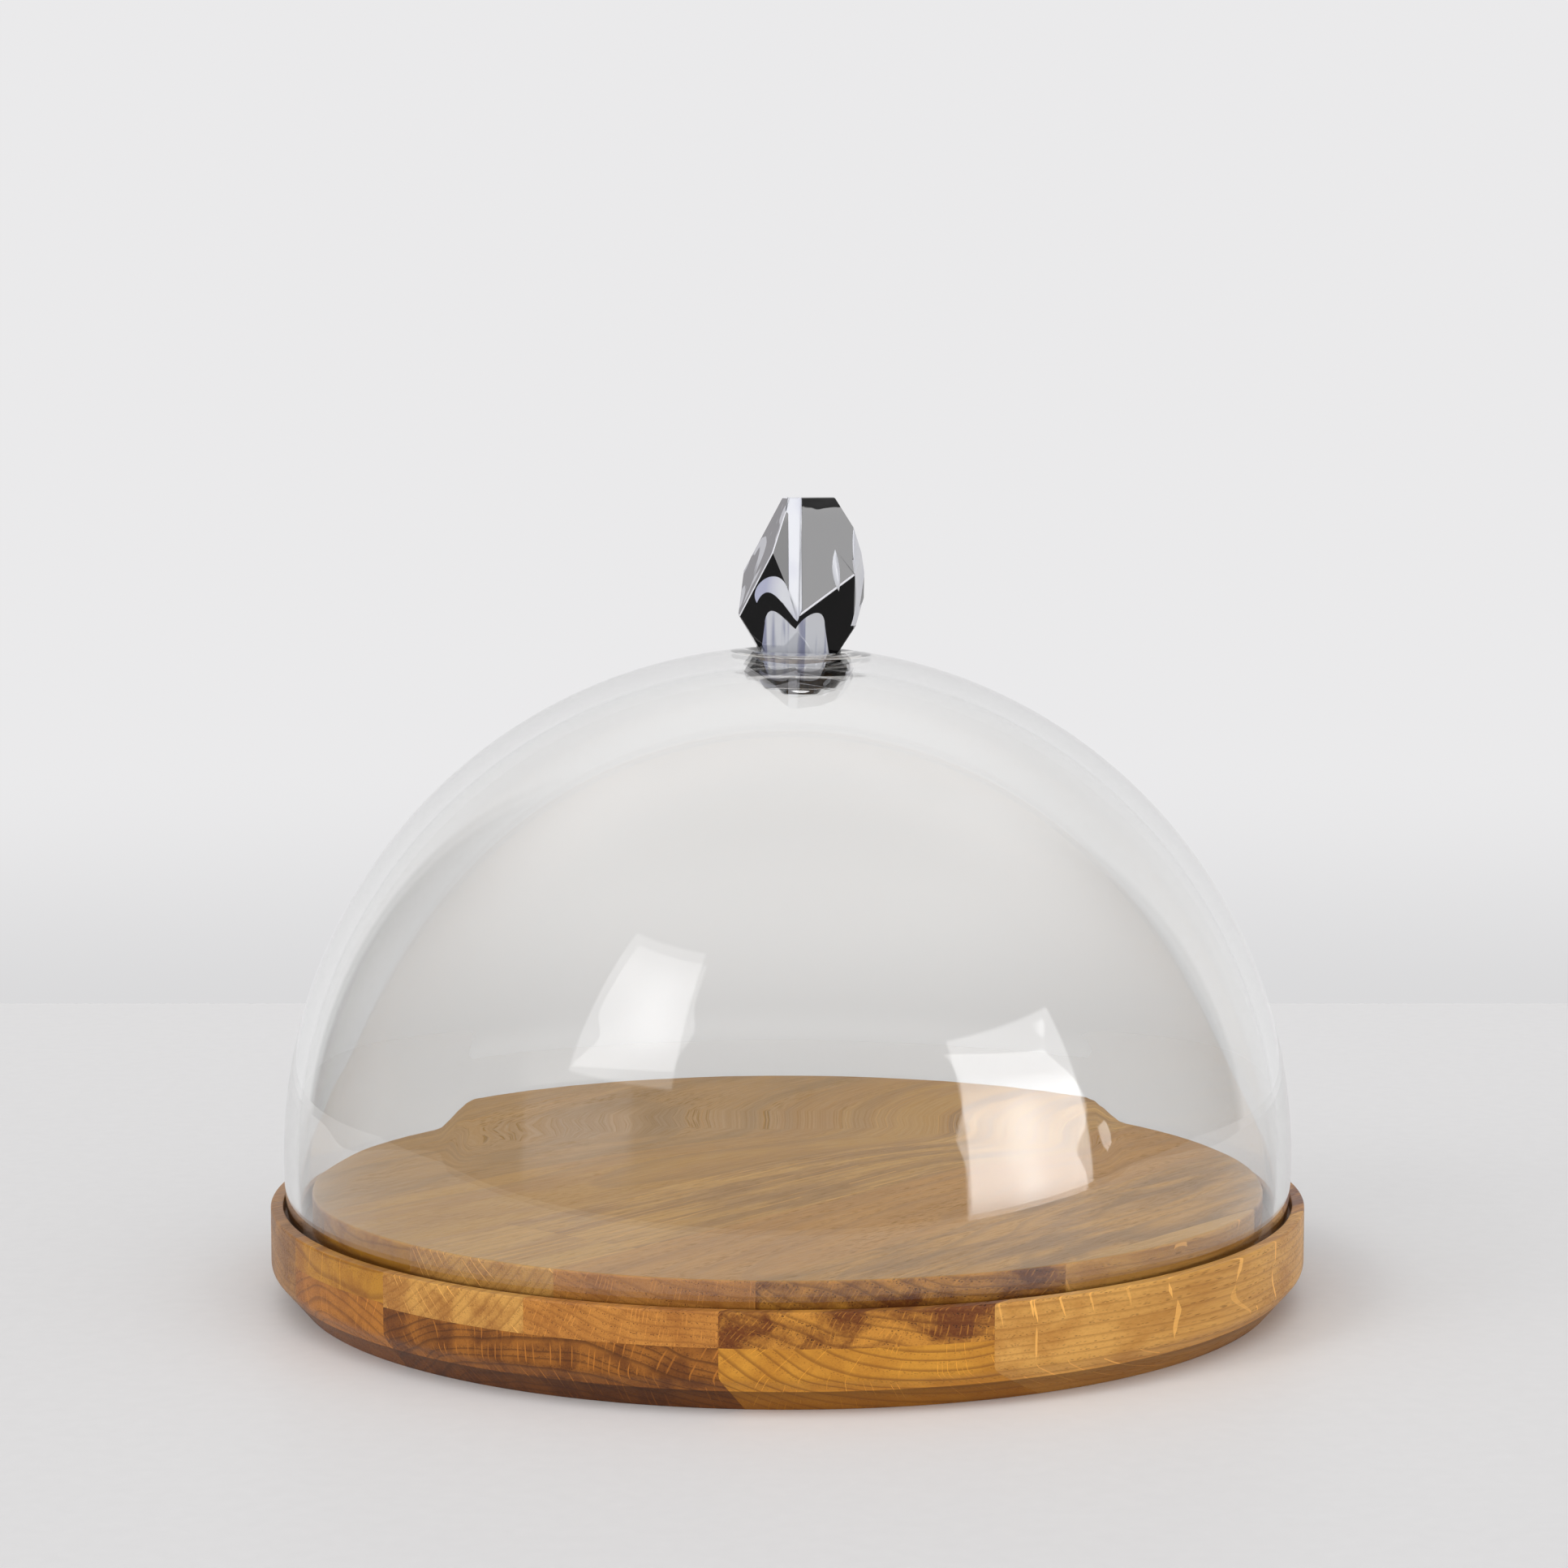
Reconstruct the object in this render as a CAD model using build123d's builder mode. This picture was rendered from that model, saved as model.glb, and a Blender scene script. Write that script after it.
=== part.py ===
"""Glass cloche with a cut glass handle, standing on a turned oak board.

Millimetres, +Z up. The origin is the centre of the board's underside.
The board is glued up from oak staves in two layers, then turned on a lathe.
The dome is free: its rim stands in the board's groove and lifts straight up.
"""

from build123d import *
import math
import os

# --- Board: a turned disc with a raised deck and a groove for the glass rim ---
BOARD_RADIUS = 155.0
FOOT_RADIUS = 146.1
FOOT_CHAMFER_HEIGHT = 10.35
LEDGE_TOP = 28.2
GROOVE_OUTER_RADIUS = 151.3
GROOVE_INNER_RADIUS = 142.6
GROOVE_FLOOR = 24.0
DECK_TOP = 34.15
DECK_EDGE_BEVEL = 0.5
LEDGE_EDGE_BEVEL = 0.4
CHAMFER_EDGE_ROUND = 1.5

# --- Staves: equal strips across the grain, most of them in two layers ---
STAVE_WIDTH = 50.0
GRAIN_ANGLE = 50.0
FIRST_JOINT = -135.0
LAYER_JOINT = 18.5
THIN_LAYER_JOINT = 19.6
END_JOINT = -106.0
BEYOND = 2.0 * BOARD_RADIUS

# --- Glass dome: a blown shell, thicker towards its crown ---
DOME_RADIUS = 151.0
DOME_CENTRE_HEIGHT = 42.0
BORE_RADIUS = 146.6
CROWN_WALL = 6.0
RIM_ROUND = 1.2

# --- Crown boss: the gather of glass that carries the handle, a little off centre ---
HANDLE_OFFSET = 3.8
BOSS_RADIUS = 18.0
BOSS_SHOULDER = 184.0
BOSS_BELLY_RADIUS = 14.0
BOSS_BELLY_HEIGHT = 181.5
BOSS_BOTTOM = 179.0
SEAT_RADIUS = 14.0
SEAT_HEIGHT = 191.0
SEAT_FLARE = 2.5

# --- Handle: a block of black glass cut to flat facets, with white glass cased in it ---
HANDLE_HEIGHT = 46.5
HANDLE_BLANK_SIZE = 60.0
HANDLE_FOOT_RADIUS = 12.2
HANDLE_FOOT_HEIGHT = 2.2
CASING_DEPTH = 2.0
SIDE_CASING_DEPTH = 0.6
ROOT_DEPTH = 9.0
INLAY_REACH = 30.0
SIDE_BAND_REACH = 42.0

# Each facet: azimuth from the front towards +X, tilt above the horizon, distance from the seat's centre.
HANDLE_FACETS = [
    (27.0, 13.0, 17.25),
    (-17.0, 15.0, 19.05),
    (-69.0, 20.0, 20.9),
    (-38.0, 3.0, 14.3),
    (37.0, -4.0, 12.4),
    (67.0, 5.7, 19.2),
    (75.0, -2.3, 16.1),
    (90.0, -17.5, 13.3),
    (125.0, 28.8, 28.4),
    (150.0, 4.0, 16.5),
    (178.0, 17.0, 19.5),
    (-130.0, 32.5, 27.85),
    (-115.0, -10.4, 13.6),
    (-155.0, 0.0, 14.5),
    (-85.0, -31.0, 9.9),
    (-62.0, -31.0, 10.6),
    (-38.0, -31.0, 10.5),
    (0.0, -31.0, 10.6),
    (37.0, -31.0, 10.5),
    (88.0, -33.7, 9.2),
    (135.0, -31.0, 10.2),
    (180.0, -31.0, 10.2),
    (-135.0, -31.0, 10.2),
]

os.makedirs("parts", exist_ok=True)
dome_crown = DOME_CENTRE_HEIGHT + DOME_RADIUS
bore_crown = dome_crown - CROWN_WALL
bore_centre_height = bore_crown - BORE_RADIUS
belly_drop = BOSS_BELLY_HEIGHT - BOSS_BOTTOM
belly_ball_radius = (BOSS_BELLY_RADIUS**2 + belly_drop**2) / (2 * belly_drop)
belly_centre_height = BOSS_BOTTOM + belly_ball_radius
belly_half_angle = math.degrees(math.asin(BOSS_BELLY_RADIUS / belly_ball_radius))
handle_seat = Vector(HANDLE_OFFSET, 0, SEAT_HEIGHT)
handle_axis = Axis(handle_seat, (0, 0, 1))
handle_profile_plane = Plane(origin=(HANDLE_OFFSET, 0, 0), x_dir=(1, 0, 0), z_dir=(0, -1, 0))
handle_front_plane = Plane(
    origin=handle_seat - Vector(0, HANDLE_BLANK_SIZE / 2, 0), x_dir=(1, 0, 0), z_dir=(0, -1, 0)
)


def save(piece, name):
    """Labels a finished piece and writes it under its own name."""
    piece.part.label = name
    export_step(piece.part, f"parts/{name}.step")


def radius_at(sphere_radius, centre_height, height):
    """How far from its axis a sphere's surface is at a height."""
    return math.sqrt(sphere_radius**2 - (height - centre_height) ** 2)


# ---------------------------------------------------------------- the board
with BuildPart() as board_blank:
    with BuildSketch(Plane.XZ):
        with BuildLine():
            Polyline(
                (0, 0),
                (FOOT_RADIUS, 0),
                (BOARD_RADIUS, FOOT_CHAMFER_HEIGHT),
                (BOARD_RADIUS, LEDGE_TOP),
                (GROOVE_OUTER_RADIUS, LEDGE_TOP),
                (GROOVE_OUTER_RADIUS, GROOVE_FLOOR),
                (GROOVE_INNER_RADIUS, GROOVE_FLOOR),
                (GROOVE_INNER_RADIUS, DECK_TOP),
                (0, DECK_TOP),
                close=True,
            )
        make_face()
    revolve(axis=Axis.Z)
    turned_edges = board_blank.edges().filter_by(GeomType.CIRCLE).group_by(Axis.Z)
    chamfer(turned_edges[-1], DECK_EDGE_BEVEL)
    chamfer(turned_edges[-2], LEDGE_EDGE_BEVEL)
    fillet(turned_edges[1], CHAMFER_EDGE_ROUND)


def joint_line(strip):
    """Where a strip's near edge lies across the grain; strip 0 is the one inside the first joint."""
    return FIRST_JOINT + strip * STAVE_WIDTH


def make_stave(name, across, height=(0.0, DECK_TOP), along=(-BEYOND, BEYOND)):
    """One stave: the part of the turned blank between two joints across, up and along the grain."""
    layer_plane = Plane(origin=(0, 0, height[0])).rotated((0, 0, GRAIN_ANGLE))
    with BuildPart() as stave:
        add(board_blank.part)
        with BuildSketch(layer_plane):
            with Locations((sum(along) / 2, sum(across) / 2)):
                Rectangle(along[1] - along[0], across[1] - across[0])
        extrude(amount=height[1] - height[0], mode=Mode.INTERSECT)
    save(stave, name)


lower = (0.0, LAYER_JOINT)
upper = (LAYER_JOINT, DECK_TOP)
strips = [(joint_line(n), joint_line(n + 1)) for n in range(5)]
make_stave("front_edge_stave", (-BEYOND, joint_line(0)))
make_stave("front_stave_upper", strips[0], upper)
make_stave("front_stave_lower", strips[0], lower)
make_stave("second_stave_upper", strips[1], upper)
make_stave("centre_stave_upper", strips[2], upper, (END_JOINT, BEYOND))
make_stave("centre_stave_upper_end", strips[2], upper, (-BEYOND, END_JOINT))
make_stave("wide_stave_lower", (joint_line(1), joint_line(3)), lower)
make_stave("fourth_stave_upper", strips[3], (THIN_LAYER_JOINT, DECK_TOP))
make_stave("fourth_stave_lower", strips[3], (0.0, THIN_LAYER_JOINT))
make_stave("fifth_stave", strips[4])
make_stave("back_edge_stave", (joint_line(5), BEYOND))

# ----------------------------------------------------------- the glass dome
rim_outer_radius = radius_at(DOME_RADIUS, DOME_CENTRE_HEIGHT, GROOVE_FLOOR)
rim_inner_radius = radius_at(BORE_RADIUS, bore_centre_height, GROOVE_FLOOR)
mid_angle = math.radians(40)

with BuildPart() as glass_dome:
    with BuildSketch(Plane.XZ):
        with BuildLine():
            outer_wall = ThreePointArc(
                (rim_outer_radius, GROOVE_FLOOR),
                (DOME_RADIUS * math.cos(mid_angle), DOME_CENTRE_HEIGHT + DOME_RADIUS * math.sin(mid_angle)),
                (0, dome_crown),
            )
            crown_edge = Line(outer_wall @ 1, (0, bore_crown))
            inner_wall = ThreePointArc(
                crown_edge @ 1,
                (BORE_RADIUS * math.cos(mid_angle), bore_centre_height + BORE_RADIUS * math.sin(mid_angle)),
                (rim_inner_radius, GROOVE_FLOOR),
            )
            Line(inner_wall @ 1, outer_wall @ 0)
        make_face()
    revolve(axis=Axis.Z)
    fillet(glass_dome.edges().filter_by(GeomType.CIRCLE).group_by(Axis.Z)[0], RIM_ROUND)
    with BuildSketch(Plane.XY.offset(BOSS_BOTTOM)):
        with Locations((HANDLE_OFFSET, 0)):
            Circle(BOSS_RADIUS)
    extrude(amount=dome_crown - BOSS_BOTTOM, mode=Mode.SUBTRACT)
save(glass_dome, "glass_dome")

with BuildPart() as crown_ball:
    with Locations((0, 0, DOME_CENTRE_HEIGHT)):
        Sphere(DOME_RADIUS)

with BuildPart() as crown_boss:
    with BuildSketch(handle_profile_plane):
        with BuildLine():
            seat = Line((0, SEAT_HEIGHT), (SEAT_RADIUS, SEAT_HEIGHT))
            flare = Line(seat @ 1, (SEAT_RADIUS + SEAT_FLARE, SEAT_HEIGHT + SEAT_FLARE))
            above = Line(flare @ 1, (BOSS_RADIUS, dome_crown + SEAT_FLARE))
            side = Line(above @ 1, (BOSS_RADIUS, BOSS_SHOULDER))
            shoulder = Line(side @ 1, (BOSS_BELLY_RADIUS, BOSS_BELLY_HEIGHT))
            belly = Line(shoulder @ 1, (0, BOSS_BELLY_HEIGHT))
            Line(belly @ 1, seat @ 0)
        make_face()
    revolve(axis=handle_axis)
    add(crown_ball.part, mode=Mode.INTERSECT)
    with BuildSketch(handle_profile_plane):
        with BuildLine():
            belly_arc = CenterArc((0, belly_centre_height), belly_ball_radius, 270, belly_half_angle)
            belly_chord = Line(belly_arc @ 1, (0, BOSS_BELLY_HEIGHT))
            Line(belly_chord @ 1, belly_arc @ 0)
        make_face()
    revolve(axis=handle_axis)
save(crown_boss, "crown_boss")


# --------------------------------------------------------------- the handle
def facet_plane(azimuth, tilt, distance):
    """The plane of one cut facet, facing away from the handle."""
    turn = math.radians(azimuth)
    rise = math.radians(tilt)
    outward = Vector(math.sin(turn) * math.cos(rise), -math.cos(turn) * math.cos(rise), math.sin(rise))
    return Plane(origin=handle_seat + outward * distance, z_dir=outward)


def cut_block(inset):
    """The handle's facets ground on a block, all of them a little deeper by the inset."""
    with BuildPart() as block:
        with BuildSketch(Plane(origin=handle_seat)):
            Rectangle(HANDLE_BLANK_SIZE, HANDLE_BLANK_SIZE)
        extrude(amount=HANDLE_HEIGHT - inset)
        for azimuth, tilt, distance in HANDLE_FACETS:
            split(bisect_by=facet_plane(azimuth, tilt, distance - inset), keep=Keep.BOTTOM)
    return block.part


handle_blank = cut_block(0.0)
handle_core = cut_block(CASING_DEPTH)
side_core = cut_block(SIDE_CASING_DEPTH)
root_core = cut_block(ROOT_DEPTH)


def cased_inlay(outline, core, reach=INLAY_REACH):
    """White or clear glass lying in the handle under an outline, back from its front and down to the core."""
    with BuildPart() as inlay:
        with BuildSketch(handle_front_plane):
            add(outline)
        extrude(amount=-reach)
        add(handle_blank, mode=Mode.INTERSECT)
        add(core, mode=Mode.SUBTRACT)
    return inlay


def ridge_band_outline():
    """A band down the front ridge, ending in a point."""
    with BuildSketch() as outline:
        with BuildLine():
            Polyline(
                (-3.5, 48.0),
                (-4.4, 42.6),
                (-3.6, 41.8),
                (-3.6, 19.3),
                (-0.9, 10.4),
                (0.55, 13.8),
                (0.3, 48.0),
                close=True,
            )
        make_face()
    return outline.sketch


def crescent_outline():
    """A hooked crescent left of the ridge, whose tail joins the band's point."""
    with BuildSketch() as outline:
        with BuildLine():
            crown = Spline((-12.9, 15.4), (-13.3, 19.0), (-9.0, 23.2), (-3.6, 19.3))
            tail = Line(crown @ 1, (-0.9, 10.4))
            Spline(tail @ 1, (-4.6, 14.7), (-9.3, 18.6), crown @ 0)
        make_face()
    return outline.sketch


def flame_outline():
    """A slim flame on the large front facet."""
    with BuildSketch() as outline:
        with BuildLine():
            left = ThreePointArc((10.3, 31.2), (9.6, 24.0), (11.4, 18.8))
            ThreePointArc(left @ 1, (11.7, 24.6), left @ 0)
        make_face()
    return outline.sketch


def side_band_outline():
    """The white side of the handle, right of the front facets, with a sliver of black left in it."""
    with BuildSketch() as outline:
        with BuildLine():
            edge = Spline((16.1, 39.0), (16.1, 24.5), (16.5, 18.0), (15.0, 8.5))
            Polyline(edge @ 1, (24.0, 8.5), (24.0, 39.0), edge @ 0)
        make_face()
        with BuildLine():
            Polyline((19.2, 22.8), (17.7, 13.8), (21.5, 19.5), (21.5, 22.8), close=True)
        make_face(mode=Mode.SUBTRACT)
    return outline.sketch


def root_outline():
    """The clear root: two arches with a notch between them, open at the seat."""
    with BuildSketch() as outline:
        with BuildLine():
            left_leg = Line((-11.9, -1.0), (-10.6, 9.4))
            left_arch = Spline(left_leg @ 1, (-8.2, 13.2), (-4.2, 10.6), (-1.4, 8.1))
            right_arch = Spline(left_arch @ 1, (1.8, 11.6), (5.0, 12.7), (7.2, 9.0))
            right_leg = Line(right_arch @ 1, (8.8, -1.0))
            Line(right_leg @ 1, left_leg @ 0)
        make_face()
    return outline.sketch


handle_ridge_band = cased_inlay(ridge_band_outline(), handle_core)
handle_crescent = cased_inlay(crescent_outline(), handle_core)
handle_flame = cased_inlay(flame_outline(), handle_core)
handle_side_band = cased_inlay(side_band_outline(), side_core, SIDE_BAND_REACH)
handle_root = cased_inlay(root_outline(), root_core)

with BuildPart() as handle_body:
    add(handle_blank)
    with BuildSketch(Plane(origin=handle_seat)):
        Circle(HANDLE_FOOT_RADIUS)
    extrude(amount=HANDLE_FOOT_HEIGHT)
    for inlay in (handle_ridge_band, handle_crescent, handle_flame, handle_side_band, handle_root):
        add(inlay.part, mode=Mode.SUBTRACT)

save(handle_ridge_band, "handle_ridge_band")
save(handle_crescent, "handle_crescent")
save(handle_flame, "handle_flame")
save(handle_side_band, "handle_side_band")
save(handle_root, "handle_root")
save(handle_body, "handle_body")
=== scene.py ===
"""Looks of the glass cloche on its oak board: glass, cut glass handle, oak, light and camera.

Metres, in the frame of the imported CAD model: +Z up, origin under the middle of the board.
Lengths that read better in millimetres are written as a number times MM.
In the world, an azimuth is in degrees from the front (-Y) towards +X, a rise in degrees above the horizon.
"""

import math

import bmesh
import bpy
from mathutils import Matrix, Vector


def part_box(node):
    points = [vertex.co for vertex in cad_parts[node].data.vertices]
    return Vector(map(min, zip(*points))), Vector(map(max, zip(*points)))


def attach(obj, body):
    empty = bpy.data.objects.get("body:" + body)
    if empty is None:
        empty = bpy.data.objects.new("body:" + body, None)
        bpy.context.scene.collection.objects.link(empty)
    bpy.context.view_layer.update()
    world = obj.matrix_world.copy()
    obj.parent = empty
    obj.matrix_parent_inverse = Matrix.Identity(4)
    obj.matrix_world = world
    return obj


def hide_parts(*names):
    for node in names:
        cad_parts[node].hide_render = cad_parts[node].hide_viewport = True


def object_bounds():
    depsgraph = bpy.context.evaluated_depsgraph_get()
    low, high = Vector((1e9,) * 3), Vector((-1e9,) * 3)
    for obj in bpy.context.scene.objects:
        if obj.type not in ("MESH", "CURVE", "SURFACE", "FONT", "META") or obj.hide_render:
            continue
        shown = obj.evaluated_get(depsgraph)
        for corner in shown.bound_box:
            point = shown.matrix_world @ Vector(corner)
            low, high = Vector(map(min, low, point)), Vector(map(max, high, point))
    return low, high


MM = 0.001

# --- Camera: a long lens, a little above the dome's crown ---
CAMERA_PLACE = (-0.00104, -1.085, 0.25547)
CAMERA_PITCH = 0.0952474
LENS_MM = 83.5
SENSOR_MM = 36.0
NEAREST = 0.01

# --- Table ---
TABLE_BACK_EDGE = 0.545
TABLE_FRONT_EDGE = -0.55
TABLE_HALF_WIDTH = 3.0

# --- Board: the turned outline ---
FOOT_RADIUS = 146.1 * MM
FOOT_CHAMFER_HEIGHT = 10.35 * MM
LEDGE_TOP = 28.2 * MM
GROOVE_OUTER_RADIUS = 151.3 * MM
GROOVE_INNER_RADIUS = 142.6 * MM
GROOVE_FLOOR = 24 * MM
EDGE_SUPPORT = 0.35 * MM
BOARD_SEGMENTS = 512

# --- Board: the joints between its staves ---
GRAIN_ANGLE = math.radians(50)
GRAIN = Vector((math.cos(GRAIN_ANGLE), math.sin(GRAIN_ANGLE), 0))
ACROSS = Vector((-math.sin(GRAIN_ANGLE), math.cos(GRAIN_ANGLE), 0))
UP = Vector((0, 0, 1))
STAVE_WIDTH = 50 * MM
FIRST_JOINT = -135 * MM
END_JOINT = -106 * MM
LAYER_JOINT = 18.5 * MM
THIN_LAYER_JOINT = 19.6 * MM

# --- Oak, in millimetres: how long and how wide each part of its pattern is ---
WANDER_LENGTH, WANDER_WIDTH = 110, 26
FIGURE_LENGTH, FIGURE_WIDTH = 60, 9
FIBRE_LENGTH, FIBRE_WIDTH = 16, 0.55
PORE_LENGTH, PORE_WIDTH = 5, 0.5
RING_WANDER_LENGTH, RING_WANDER_DEPTH = 160, 7
RAY_WIDTH = 0.16
# Painted light: a paler, yellower colour mixed into the deck's top, and how much of it.
DECK_PAINTED_LIGHT_COLOUR = (190, 149, 62)
DECK_PAINTED_LIGHT_SHARE = 0.4
# Painted light: how much paler the oak low on the chamfered foot is made.
FOOT_PAINTED_LIGHT_GAIN = (2.3, 2.0, 1.4, 1.0)

# --- Glass dome ---
GLASS_TINT = (0.955, 0.957, 0.95, 1.0)
STRAIGHT_TINT = (0.95, 0.95, 0.945, 1.0)
STRAIGHT_EDGE_TINT = (0.62, 0.62, 0.61, 1.0)
GLASS_SEGMENTS = 360
DOME_CROWN = 193 * MM
BORE_RADIUS = 146.6 * MM
CROWN_WALL = 6 * MM
RIM_ROUND = 1.2 * MM
RIM_STEPS = 6
SEAT_HEIGHT = 191 * MM
SEAT_GAP = 0.05 * MM
SEAT_EDGE = (12.6 * MM, 17 * MM)
CENTRED_FROM = (28 * MM, 100 * MM)
STEEP = math.radians(70)

# --- Crown boss: the belly under it, a drop with rounded steps and three faint lobes ---
BELLY_DEPTH = 7.2 * MM
BELLY_STEP = 0.85 * MM
BELLY_STEP_COUNT = 3.3
BELLY_LOBE = 0.2 * MM

# --- Front wall: a wave from the blower's shaping, in degrees each side of a middle just off the front ---
WAVE_DEPTH = 0.27 * MM
WAVE_HALF_LENGTH = 18 * MM
WAVE_HEIGHT = 86 * MM
WAVE_SAG = 11.5 * MM
WAVE_HALF_SPAN = 38
WAVE_TURN = 91
WAVE_EDGE = (38.5, 36)
WAVE_FAR_EDGE = (62, 52)
COUNTER_WAVE_LEFT = 0.6
COUNTER_WAVE_RIGHT = 0.15

# --- Handle ---
HANDLE_EDGE = 0.3 * MM
HIGHLIGHT_RIM_DROP = 15 * MM
ROLL_OVER_DROP = 6.4
ROLL_OVER_BEND = -0.0085
FOOT_DISC_RADIUS = 12.4 * MM
FOOT_DISC_DROP = 0.02 * MM
MERGE_DISTANCE = 0.002 * MM
FLAT_ANGLE = math.radians(0.6)
SAME_FACET_ANGLE = math.radians(3)
SMALL_FACET_SIDE = 1.5 * MM
LEAST_CUT_ANGLE = math.radians(8)
MOST_CUT_ANGLE = math.radians(80)
LEFT_FACET_PAINTED_REFLECTION = 1
PAINTED_HIGHLIGHT_EDGE = 2
PAINTED_SHADE_UNDERSIDE = 3

# --- World: levels, where 1 is white ---
WALL = 0.83
WALL_FOOT = 0.84
BELOW_TABLE = 1.03
ROOM_LOW = 0.13
CEILING = 0.95
BACK_CEILING = 0.5
LEFT_BOX = 2.6
LEFT_BOX_TOP = 0.65
LEFT_HOT_SPOT = 1.4
RIGHT_BOX_HIGH = 3.6
RIGHT_BOX_LOW = 6.0
RIGHT_HOT_SPOT = 2.5
KEY = 9.0
FILL = 0.6
AMBIENT_LOW = 0.55
AMBIENT_HIGH = 0.91
AMBIENT_BEHIND = 0.4
AMBIENT_AHEAD = 1.1
WORLD_TINT = (0.995, 0.99, 1.0, 1.0)

# --- World: places, as spans of azimuth and rise, and spots of azimuth, rise and size ---
# The back wall's span alone is measured from the back (+Y) towards +X.
BACK_WALL_SPAN = (-41, 55)
BACK_WALL_TOP = 62
LEFT_BOX_SPAN, LEFT_BOX_RISE = (-52.5, -27.5), (22, 51)
LEFT_SPOT = (-37, 37, 8)
RIGHT_BOX_SPAN, RIGHT_BOX_RISE = (40.5, 69.5), (1, 29.5)
RIGHT_BOX_SOFT_FOOT = 12
RIGHT_SPOT = (54, 8, 5)
RIGHT_LOW_SPOT = (55, -1, 4)
KEY_SPOT = (-55, 38, 9)

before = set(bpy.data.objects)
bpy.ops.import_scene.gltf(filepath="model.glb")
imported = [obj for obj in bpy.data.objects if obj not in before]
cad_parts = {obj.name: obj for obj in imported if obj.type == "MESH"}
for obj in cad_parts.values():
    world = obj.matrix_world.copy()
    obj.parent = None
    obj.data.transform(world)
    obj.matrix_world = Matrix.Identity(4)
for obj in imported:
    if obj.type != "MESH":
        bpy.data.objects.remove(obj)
cad_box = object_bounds()

DECK_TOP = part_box("fifth_stave")[1].z
HANDLE_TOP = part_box("handle_body")[1].z
dome_low, dome_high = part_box("glass_dome")
boss_low, boss_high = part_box("crown_boss")
DOME_RADIUS = dome_high.x
RIM_HEIGHT = dome_low.z
DOME_CENTRE = DOME_CROWN - DOME_RADIUS
BORE_CENTRE = DOME_CROWN - CROWN_WALL - BORE_RADIUS
HANDLE_X = (boss_low.x + boss_high.x) / 2
BOSS_RADIUS = (boss_high.x - boss_low.x) / 2
BOSS_BOTTOM = boss_low.z


def rgb(red, green, blue):
    """A display colour, 0 to 255, as the linear colour that a shader takes."""
    parts = []
    for part in (red, green, blue):
        c = part / 255
        parts.append(c / 12.92 if c <= 0.04045 else ((c + 0.055) / 1.055) ** 2.4)
    return (*parts, 1.0)


def scaled(colour, factor):
    """A linear colour made darker or paler, no brighter than white."""
    return tuple(min(factor * c, 1.0) for c in colour[:3]) + (1.0,)


def smoothstep(low, high, value):
    """Smoothly from 0 at low to 1 at high, and level outside."""
    t = min(max((value - low) / (high - low), 0.0), 1.0)
    return t * t * (3 - 2 * t)


# ------------------------------------------------------------ shader graphs
class Graph:
    """Short names for the nodes of one material or world."""

    def __init__(self, tree):
        self.tree = tree
        tree.nodes.clear()

    def node(self, kind, inputs=None, **settings):
        n = self.tree.nodes.new(kind)
        for name, value in settings.items():
            setattr(n, name, value)
        for name, value in (inputs or {}).items():
            self.put(n.inputs[name], value)
        return n

    def put(self, socket, value):
        if isinstance(value, bpy.types.NodeSocket):
            self.tree.links.new(value, socket)
        else:
            socket.default_value = value

    def math(self, operation, *values):
        n = self.node("ShaderNodeMath", operation=operation)
        for socket, value in zip(n.inputs, values):
            self.put(socket, value)
        return n.outputs[0]

    def add(self, *values):
        total = values[0]
        for value in values[1:]:
            total = self.math("ADD", total, value)
        return total

    def times(self, *values):
        total = values[0]
        for value in values[1:]:
            total = self.math("MULTIPLY", total, value)
        return total

    def one_minus(self, value):
        return self.math("SUBTRACT", 1.0, value)

    def length(self, first, second):
        """The length of a vector from its two parts."""
        return self.math("SQRT", self.add(self.times(first, first), self.times(second, second)))

    def step(self, value, low, high, to_low=0.0, to_high=1.0):
        """Smoothly from to_low at low to to_high at high, and level outside."""
        n = self.node("ShaderNodeMapRange", interpolation_type="SMOOTHSTEP")
        for name, item in (("Value", value), ("From Min", low), ("From Max", high),
                           ("To Min", to_low), ("To Max", to_high)):
            self.put(n.inputs[name], item)
        return n.outputs["Result"]

    def mix(self, factor, first, second, blend="MIX"):
        n = self.node("ShaderNodeMix", data_type="RGBA", blend_type=blend)
        self.put(n.inputs["Factor"], factor)
        self.put(n.inputs[6], first)
        self.put(n.inputs[7], second)
        return n.outputs[2]

    def split(self, vector):
        n = self.node("ShaderNodeSeparateXYZ", {"Vector": vector})
        return n.outputs[0], n.outputs[1], n.outputs[2]

    def join(self, x, y, z):
        return self.node("ShaderNodeCombineXYZ", {"X": x, "Y": y, "Z": z}).outputs[0]

    def place(self):
        """The shaded point in the piece's own space, which is the model's frame at rest."""
        return self.node("ShaderNodeTexCoord").outputs["Object"]

    def millimetres(self):
        n = self.node("ShaderNodeVectorMath", {0: self.place(), "Scale": 1 / MM}, operation="SCALE")
        return n.outputs[0]

    def noise(self, vector, scale=1.0, detail=2.0, roughness=0.5, distortion=0.0):
        n = self.node("ShaderNodeTexNoise", {
            "Vector": vector, "Scale": scale, "Detail": detail,
            "Roughness": roughness, "Distortion": distortion})
        return n.outputs["Fac"]

    def bump(self, height, distance, strength=1.0):
        n = self.node("ShaderNodeBump", {"Strength": strength, "Distance": distance, "Height": height})
        return n.outputs["Normal"]

    def surface(self, shader):
        self.node("ShaderNodeOutputMaterial", {"Surface": shader.outputs[0]})


def new_material(name):
    material = bpy.data.materials.new(name)
    material.use_nodes = True
    return material, Graph(material.node_tree)


# ------------------------------------------------------------- mesh helpers
def mesh_object(name, bm):
    mesh = bpy.data.meshes.new(name)
    bm.to_mesh(mesh)
    bm.free()
    piece = bpy.data.objects.new(name, mesh)
    bpy.context.scene.collection.objects.link(piece)
    return piece


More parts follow.
